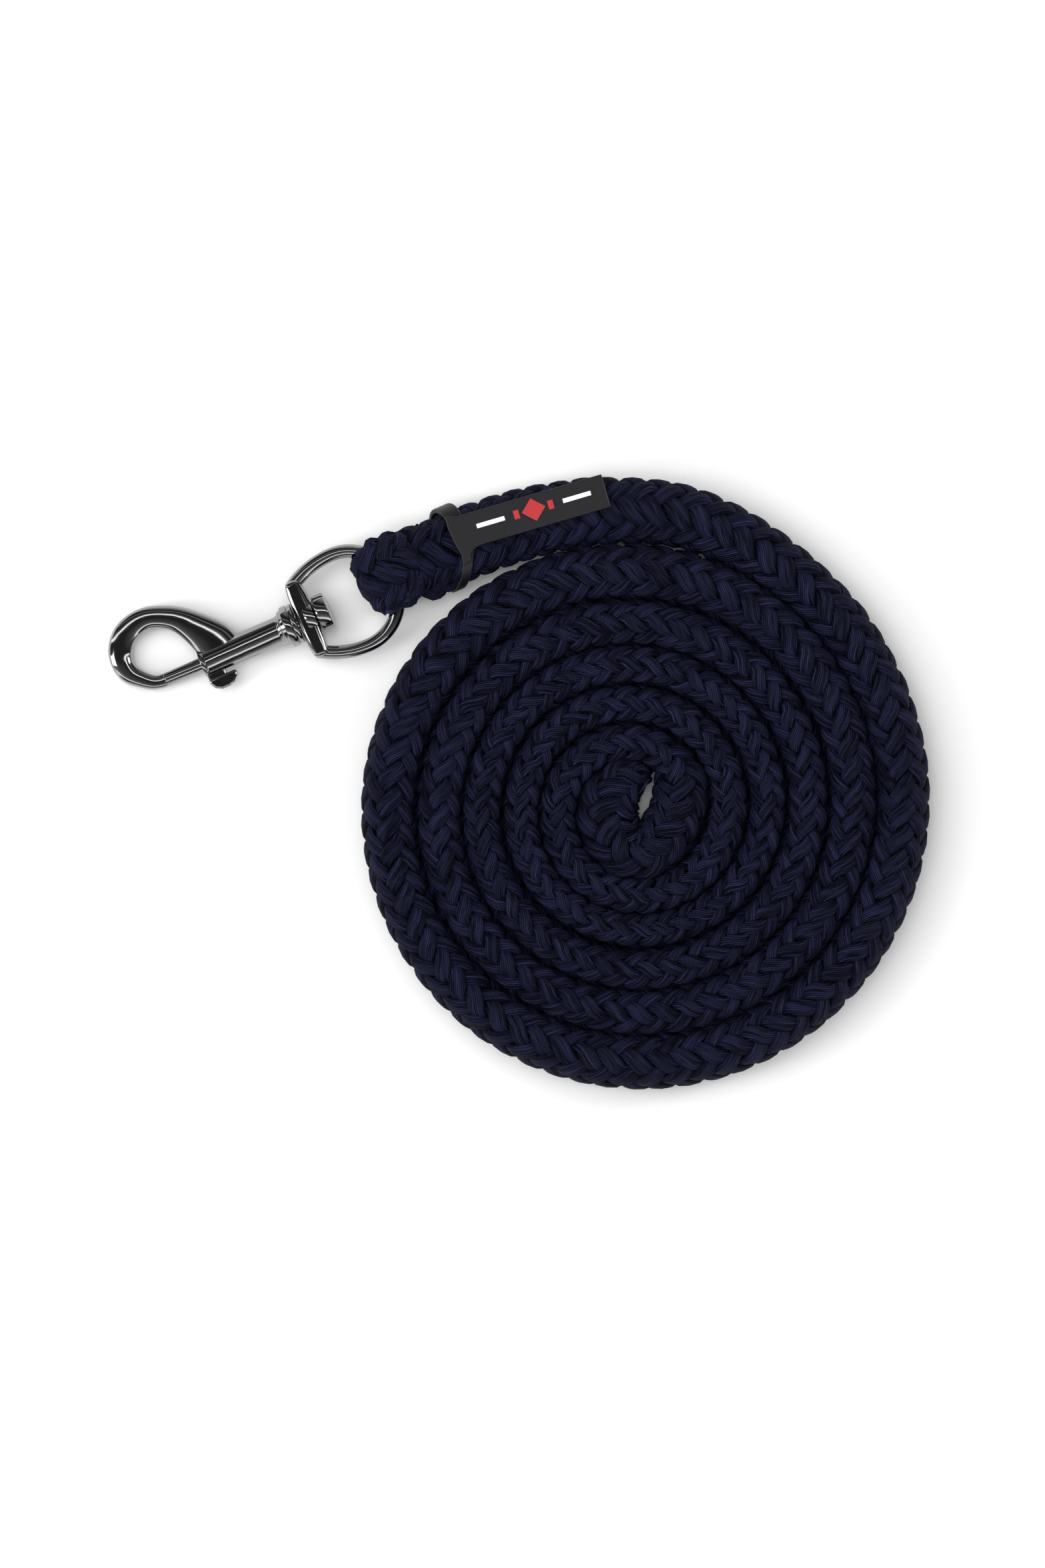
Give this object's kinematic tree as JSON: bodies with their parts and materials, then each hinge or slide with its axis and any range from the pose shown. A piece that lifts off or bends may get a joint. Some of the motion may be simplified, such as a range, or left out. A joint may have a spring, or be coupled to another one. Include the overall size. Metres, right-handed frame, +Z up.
{
  "type": "braided lead rope with swivel bolt snap",
  "caption": "Thick braided rope wound into a flat spiral, with a rubber tag and a swivel bolt snap in its spliced eye.",
  "frame": {"origin": "on the ground, under the middle of the snap and its ring as seen from above", "axes": "+X from the snap's nose towards the rope, +Y towards the hook's side, +Z up from the surface that the rope lies on"},
  "size_m": [0.2594, 0.2422, 0.025],
  "materials": {
    "navy_cotton": "matt braided cotton",
    "black_rubber": "satin moulded rubber",
    "white_rubber": "satin",
    "red_rubber": "satin",
    "dark_chrome": "polished black nickel",
    "spring_steel": "drawn wire"
  },
  "bodies": {
    "rope": {"rope_coil": "navy_cotton", "rope_lead": "navy_cotton", "rope_eye": "navy_cotton", "rubber_tag": "black_rubber", "tag_dash_front": "white_rubber", "tag_dash_rear": "white_rubber", "tag_emblem": "red_rubber"},
    "ring": {"swivel_ring": "dark_chrome"},
    "snap": {"snap_body": "dark_chrome", "swivel_post": "dark_chrome", "bolt_spring": "spring_steel"},
    "bolt": {"bolt": "dark_chrome", "thumb_tab": "dark_chrome"}
  },
  "joints": [
    {"name": "eye_hinge", "type": "hinge", "parent": "rope", "child": "ring", "pos_m": [0.04993, -0.00154, 0.0125], "axis": [-0.1219, 0.9925, 0], "range_deg": [-70, 70]},
    {"name": "snap_swivel", "type": "hinge", "parent": "ring", "child": "snap", "pos_m": [0.01707, -0.0035, 0.00972], "axis": [0.9964, 0, 0.0843], "continuous": true},
    {"name": "bolt_slide", "type": "slide", "parent": "snap", "child": "bolt", "axis": [0.9964, 0, 0.0843], "range_m": [0, 0.014], "stiffness_N_per_m": 350, "springref_m": -0.004, "deforming": ["bolt_spring"]}
  ]
}
